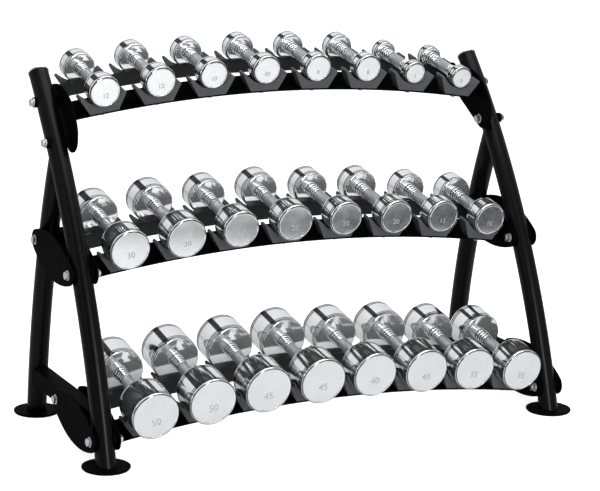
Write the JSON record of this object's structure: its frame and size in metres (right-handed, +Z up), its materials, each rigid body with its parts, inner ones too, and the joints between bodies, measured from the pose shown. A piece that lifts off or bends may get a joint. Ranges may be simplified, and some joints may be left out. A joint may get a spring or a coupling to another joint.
{
  "type": "dumbbell rack",
  "caption": "Arched tiered dumbbell rack: bent black tube side frames, tilted angle-steel rails with cradles, and chrome dumbbells that lift out",
  "frame": {"origin": "on the floor, midway between the two side frames and midway between the front and rear feet", "axes": "+X from the rack's left end to its right end as seen from the front, +Y from the front to the back, +Z up"},
  "size_m": [1.554, 0.6887, 1.0987],
  "materials": {
    "frame_black": "satin black powder coat",
    "pad_rubber": "matte black",
    "cap_silver": "smooth, silver white",
    "cradle_grey": "matte, dark grey, moulded",
    "zinc_steel": "zinc plated",
    "dumbbell_chrome": "polished chrome plate"
  },
  "bodies": {
    "rack": {"left_front_leg": "frame_black", "left_rear_leg": "frame_black", "left_brace": "frame_black", "right_front_leg": "frame_black", "right_rear_leg": "frame_black", "right_brace": "frame_black", "foot_plates": "frame_black", "foot_pads": "pad_rubber", "leg_caps": "cap_silver", "top_front_rail": "frame_black", "top_rear_rail": "frame_black", "middle_front_rail": "frame_black", "middle_rear_rail": "frame_black", "bottom_front_rail": "frame_black", "bottom_rear_rail": "frame_black", "top_front_cradles": "cradle_grey", "top_rear_cradles": "cradle_grey", "middle_front_cradles": "cradle_grey", "middle_rear_cradles": "cradle_grey", "bottom_front_cradles": "cradle_grey", "bottom_rear_cradles": "cradle_grey", "top_left_inner_plate": "frame_black", "top_right_inner_plate": "frame_black", "middle_left_inner_plate": "frame_black", "middle_right_inner_plate": "frame_black", "bottom_left_inner_plate": "frame_black", "bottom_right_inner_plate": "frame_black", "middle_left_outer_plate": "frame_black", "middle_right_outer_plate": "frame_black", "bottom_left_outer_plate": "frame_black", "bottom_right_outer_plate": "frame_black", "leg_bushings": "frame_black", "frame_bolts": "zinc_steel", "frame_washers": "zinc_steel", "frame_nuts": "zinc_steel", "cradle_screws": "zinc_steel"},
    "dumbbell_12lb_1_body": {"dumbbell_12lb_1": "dumbbell_chrome"},
    "dumbbell_12lb_2_body": {"dumbbell_12lb_2": "dumbbell_chrome"},
    "dumbbell_10lb_1_body": {"dumbbell_10lb_1": "dumbbell_chrome"},
    "dumbbell_10lb_2_body": {"dumbbell_10lb_2": "dumbbell_chrome"},
    "dumbbell_8lb_1_body": {"dumbbell_8lb_1": "dumbbell_chrome"},
    "dumbbell_8lb_2_body": {"dumbbell_8lb_2": "dumbbell_chrome"},
    "dumbbell_5lb_1_body": {"dumbbell_5lb_1": "dumbbell_chrome"},
    "dumbbell_5lb_2_body": {"dumbbell_5lb_2": "dumbbell_chrome"},
    "dumbbell_30lb_1_body": {"dumbbell_30lb_1": "dumbbell_chrome"},
    "dumbbell_30lb_2_body": {"dumbbell_30lb_2": "dumbbell_chrome"},
    "dumbbell_25lb_1_body": {"dumbbell_25lb_1": "dumbbell_chrome"},
    "dumbbell_25lb_2_body": {"dumbbell_25lb_2": "dumbbell_chrome"},
    "dumbbell_20lb_1_body": {"dumbbell_20lb_1": "dumbbell_chrome"},
    "dumbbell_20lb_2_body": {"dumbbell_20lb_2": "dumbbell_chrome"},
    "dumbbell_15lb_1_body": {"dumbbell_15lb_1": "dumbbell_chrome"},
    "dumbbell_15lb_2_body": {"dumbbell_15lb_2": "dumbbell_chrome"},
    "dumbbell_50lb_1_body": {"dumbbell_50lb_1": "dumbbell_chrome"},
    "dumbbell_50lb_2_body": {"dumbbell_50lb_2": "dumbbell_chrome"},
    "dumbbell_45lb_1_body": {"dumbbell_45lb_1": "dumbbell_chrome"},
    "dumbbell_45lb_2_body": {"dumbbell_45lb_2": "dumbbell_chrome"},
    "dumbbell_40lb_1_body": {"dumbbell_40lb_1": "dumbbell_chrome"},
    "dumbbell_40lb_2_body": {"dumbbell_40lb_2": "dumbbell_chrome"},
    "dumbbell_35lb_1_body": {"dumbbell_35lb_1": "dumbbell_chrome"},
    "dumbbell_35lb_2_body": {"dumbbell_35lb_2": "dumbbell_chrome"}
  },
  "joints": [
    {"name": "dumbbell_12lb_1_lift", "type": "slide", "parent": "rack", "child": "dumbbell_12lb_1_body", "axis": [0, -0.1968, 0.9804], "range_m": [0, 0.15]},
    {"name": "dumbbell_12lb_2_lift", "type": "slide", "parent": "rack", "child": "dumbbell_12lb_2_body", "axis": [0, -0.1968, 0.9804], "range_m": [0, 0.15]},
    {"name": "dumbbell_10lb_1_lift", "type": "slide", "parent": "rack", "child": "dumbbell_10lb_1_body", "axis": [0, -0.1968, 0.9804], "range_m": [0, 0.15]},
    {"name": "dumbbell_10lb_2_lift", "type": "slide", "parent": "rack", "child": "dumbbell_10lb_2_body", "axis": [0, -0.1968, 0.9804], "range_m": [0, 0.15]},
    {"name": "dumbbell_8lb_1_lift", "type": "slide", "parent": "rack", "child": "dumbbell_8lb_1_body", "axis": [0, -0.1968, 0.9804], "range_m": [0, 0.15]},
    {"name": "dumbbell_8lb_2_lift", "type": "slide", "parent": "rack", "child": "dumbbell_8lb_2_body", "axis": [0, -0.1968, 0.9804], "range_m": [0, 0.15]},
    {"name": "dumbbell_5lb_1_lift", "type": "slide", "parent": "rack", "child": "dumbbell_5lb_1_body", "axis": [0, -0.1968, 0.9804], "range_m": [0, 0.15]},
    {"name": "dumbbell_5lb_2_lift", "type": "slide", "parent": "rack", "child": "dumbbell_5lb_2_body", "axis": [0, -0.1968, 0.9804], "range_m": [0, 0.15]},
    {"name": "dumbbell_30lb_1_lift", "type": "slide", "parent": "rack", "child": "dumbbell_30lb_1_body", "axis": [0, -0.1968, 0.9804], "range_m": [0, 0.15]},
    {"name": "dumbbell_30lb_2_lift", "type": "slide", "parent": "rack", "child": "dumbbell_30lb_2_body", "axis": [0, -0.1968, 0.9804], "range_m": [0, 0.15]},
    {"name": "dumbbell_25lb_1_lift", "type": "slide", "parent": "rack", "child": "dumbbell_25lb_1_body", "axis": [0, -0.1968, 0.9804], "range_m": [0, 0.15]},
    {"name": "dumbbell_25lb_2_lift", "type": "slide", "parent": "rack", "child": "dumbbell_25lb_2_body", "axis": [0, -0.1968, 0.9804], "range_m": [0, 0.15]},
    {"name": "dumbbell_20lb_1_lift", "type": "slide", "parent": "rack", "child": "dumbbell_20lb_1_body", "axis": [0, -0.1968, 0.9804], "range_m": [0, 0.15]},
    {"name": "dumbbell_20lb_2_lift", "type": "slide", "parent": "rack", "child": "dumbbell_20lb_2_body", "axis": [0, -0.1968, 0.9804], "range_m": [0, 0.15]},
    {"name": "dumbbell_15lb_1_lift", "type": "slide", "parent": "rack", "child": "dumbbell_15lb_1_body", "axis": [0, -0.1968, 0.9804], "range_m": [0, 0.15]},
    {"name": "dumbbell_15lb_2_lift", "type": "slide", "parent": "rack", "child": "dumbbell_15lb_2_body", "axis": [0, -0.1968, 0.9804], "range_m": [0, 0.15]},
    {"name": "dumbbell_50lb_1_lift", "type": "slide", "parent": "rack", "child": "dumbbell_50lb_1_body", "axis": [0, -0.1968, 0.9804], "range_m": [0, 0.15]},
    {"name": "dumbbell_50lb_2_lift", "type": "slide", "parent": "rack", "child": "dumbbell_50lb_2_body", "axis": [0, -0.1968, 0.9804], "range_m": [0, 0.15]},
    {"name": "dumbbell_45lb_1_lift", "type": "slide", "parent": "rack", "child": "dumbbell_45lb_1_body", "axis": [0, -0.1968, 0.9804], "range_m": [0, 0.15]},
    {"name": "dumbbell_45lb_2_lift", "type": "slide", "parent": "rack", "child": "dumbbell_45lb_2_body", "axis": [0, -0.1968, 0.9804], "range_m": [0, 0.15]},
    {"name": "dumbbell_40lb_1_lift", "type": "slide", "parent": "rack", "child": "dumbbell_40lb_1_body", "axis": [0, -0.1968, 0.9804], "range_m": [0, 0.15]},
    {"name": "dumbbell_40lb_2_lift", "type": "slide", "parent": "rack", "child": "dumbbell_40lb_2_body", "axis": [0, -0.1968, 0.9804], "range_m": [0, 0.15]},
    {"name": "dumbbell_35lb_1_lift", "type": "slide", "parent": "rack", "child": "dumbbell_35lb_1_body", "axis": [0, -0.1968, 0.9804], "range_m": [0, 0.15]},
    {"name": "dumbbell_35lb_2_lift", "type": "slide", "parent": "rack", "child": "dumbbell_35lb_2_body", "axis": [0, -0.1968, 0.9804], "range_m": [0, 0.15]}
  ]
}
